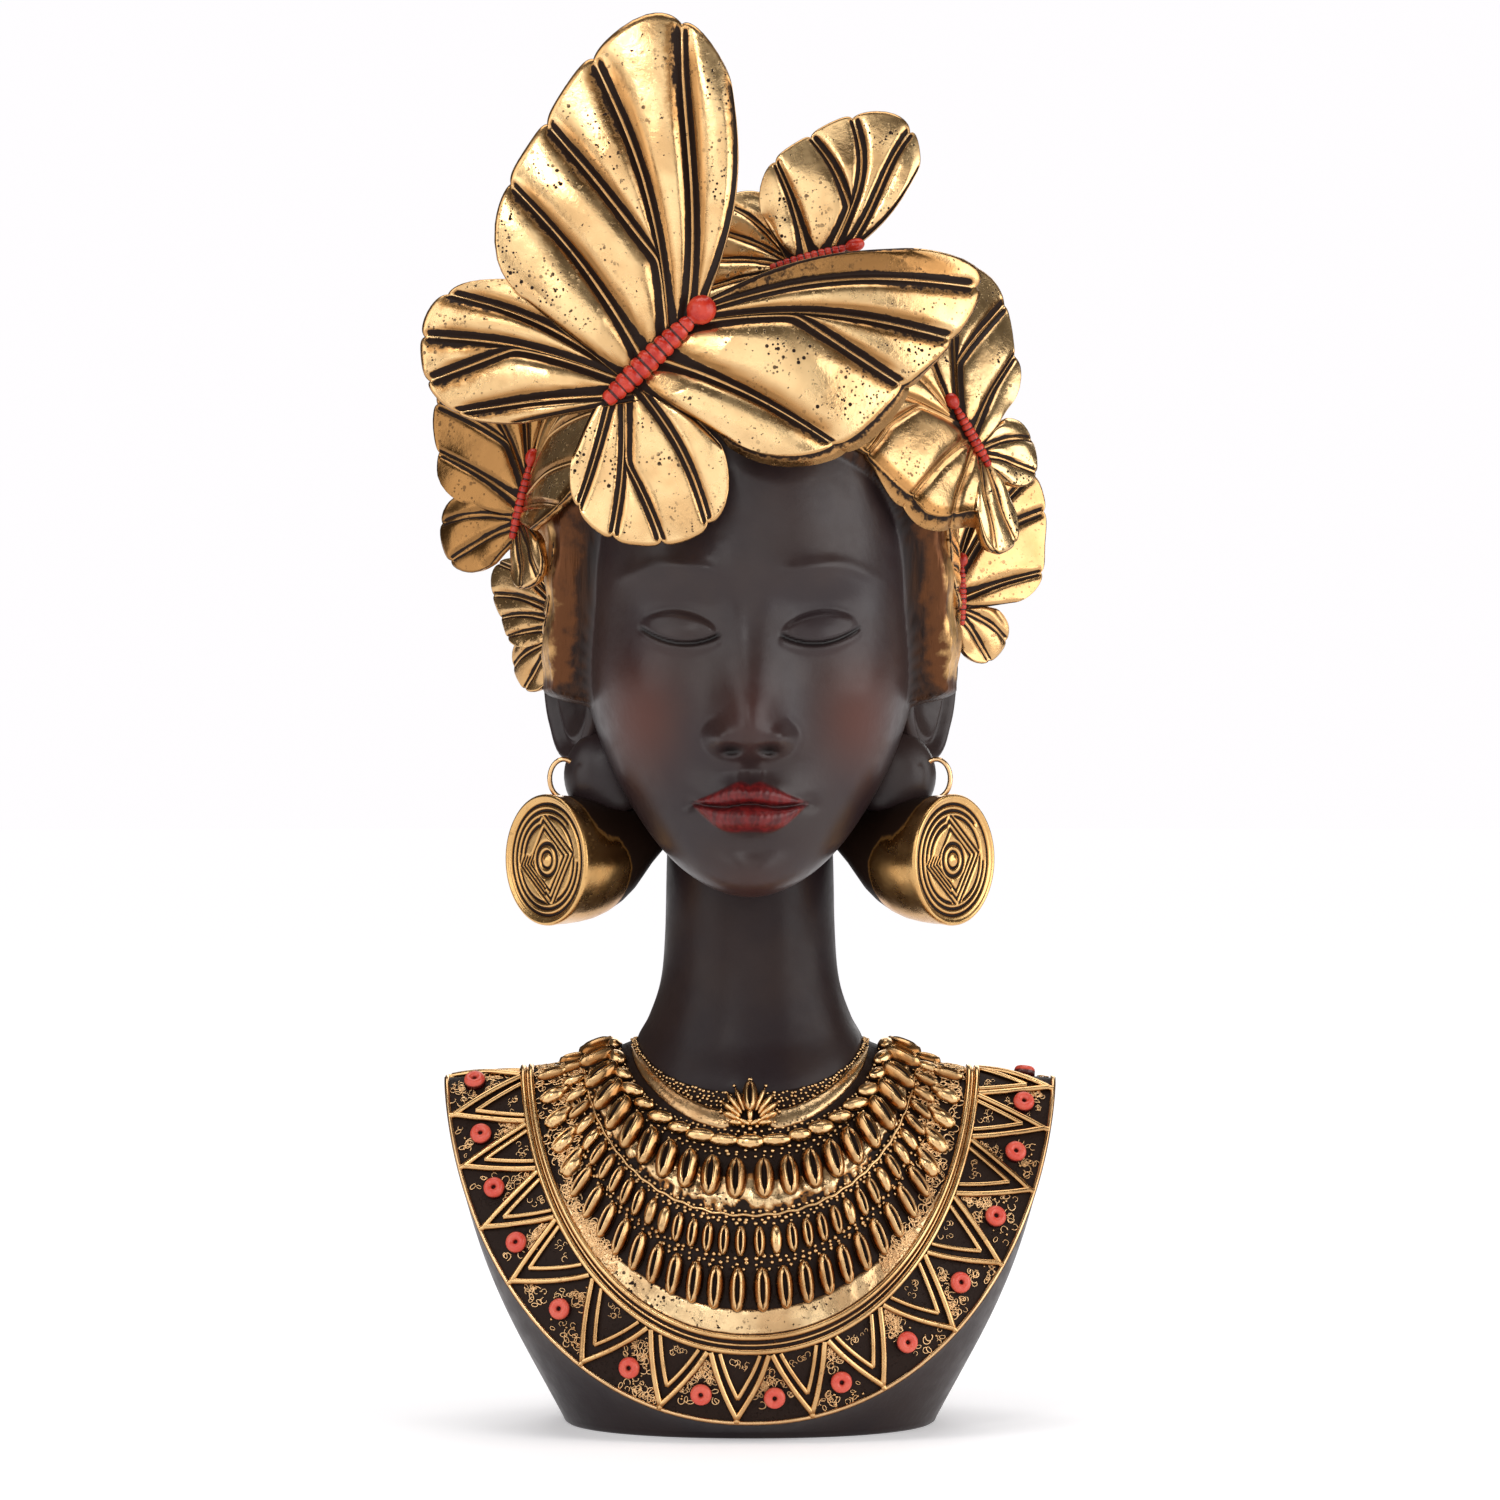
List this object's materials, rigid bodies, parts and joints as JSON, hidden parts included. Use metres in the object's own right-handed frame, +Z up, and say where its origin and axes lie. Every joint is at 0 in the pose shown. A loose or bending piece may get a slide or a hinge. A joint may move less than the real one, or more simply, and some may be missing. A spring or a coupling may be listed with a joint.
{
  "type": "decorative bust",
  "caption": "Painted resin bust of a woman with butterflies over her hair, drum earrings and a broad beaded collar.",
  "frame": {"origin": "middle of the flat underside", "axes": "+Z up, the face looks along -Y, +X is the viewer's right"},
  "size_m": [0.1432, 0.1108, 0.3162],
  "materials": {
    "dark_resin": "satin paint on cast resin",
    "gold_paint": "aged metallic paint, dark in the hollows",
    "red_paint": "satin paint"
  },
  "bodies": {
    "root": {"bust": "dark_resin"}
  },
  "joints": []
}
